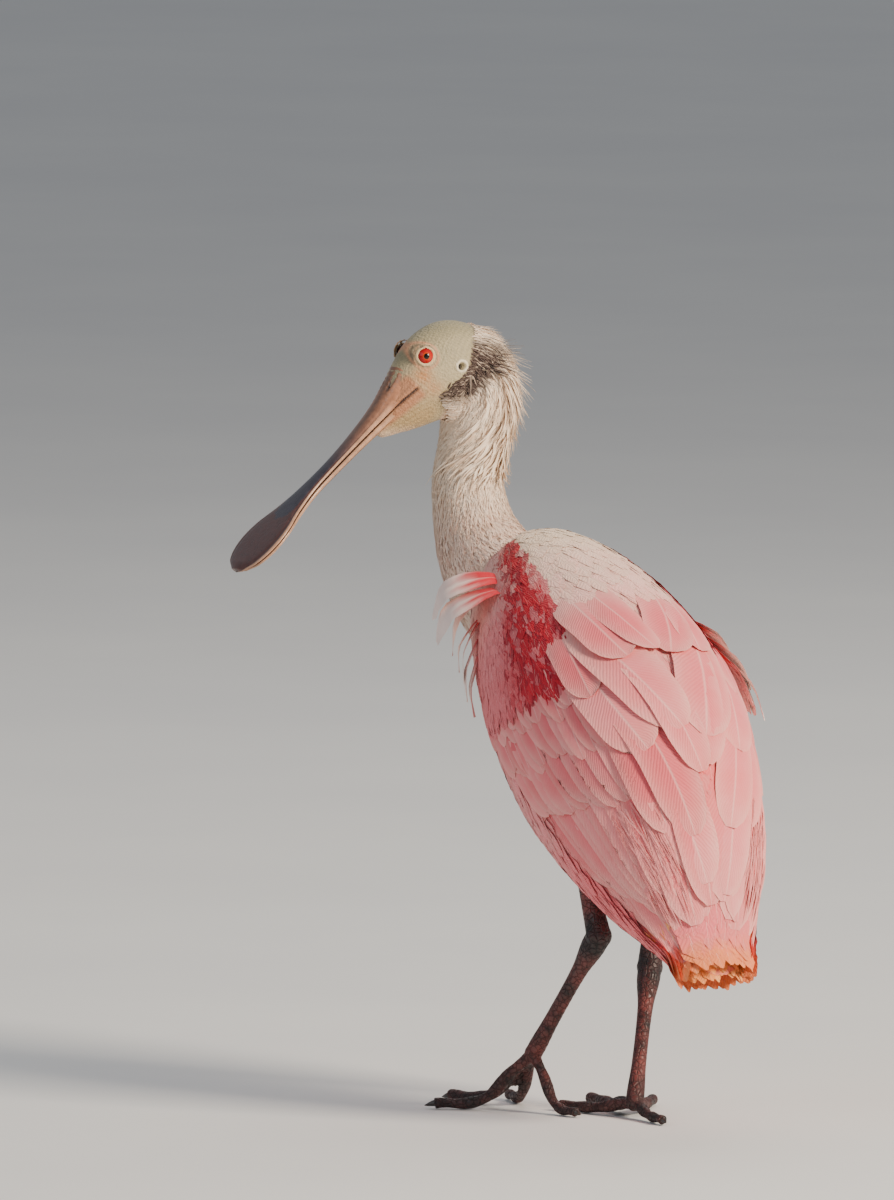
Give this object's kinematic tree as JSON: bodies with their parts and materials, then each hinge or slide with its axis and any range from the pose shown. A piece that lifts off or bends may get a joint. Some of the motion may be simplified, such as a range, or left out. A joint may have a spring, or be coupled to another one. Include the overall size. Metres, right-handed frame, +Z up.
{
  "type": "roseate spoonbill model",
  "caption": "Life-size still model of a pink wading bird, walking, its head turned aside and its long spatulate bill slanting down.",
  "frame": {"origin": "on the floor under the middle of the whole bird's box", "axes": "+X the way the bird walks, +Y its left, +Z up"},
  "size_m": [0.2864, 0.271, 0.4671],
  "materials": {
    "plumage": "matte",
    "neck_plumage": "matte",
    "wing_plumage": "satin",
    "tail_plumage": "matte",
    "bare_skin": "matte",
    "bill_horn": "satin",
    "eye": "gloss",
    "leg_skin": "satin"
  },
  "bodies": {
    "root": {"torso": "plumage", "neck_lower": "neck_plumage", "neck_upper": "neck_plumage", "head": "bare_skin", "bill_upper": "bill_horn", "bill_lower": "bill_horn", "eye_left": "eye", "eye_right": "eye", "wing_left": "wing_plumage", "wing_right": "wing_plumage", "tail": "tail_plumage", "shank_left": "leg_skin", "shin_left": "leg_skin", "foot_left": "leg_skin", "shank_right": "leg_skin", "shin_right": "leg_skin", "foot_right": "leg_skin"}
  },
  "joints": []
}
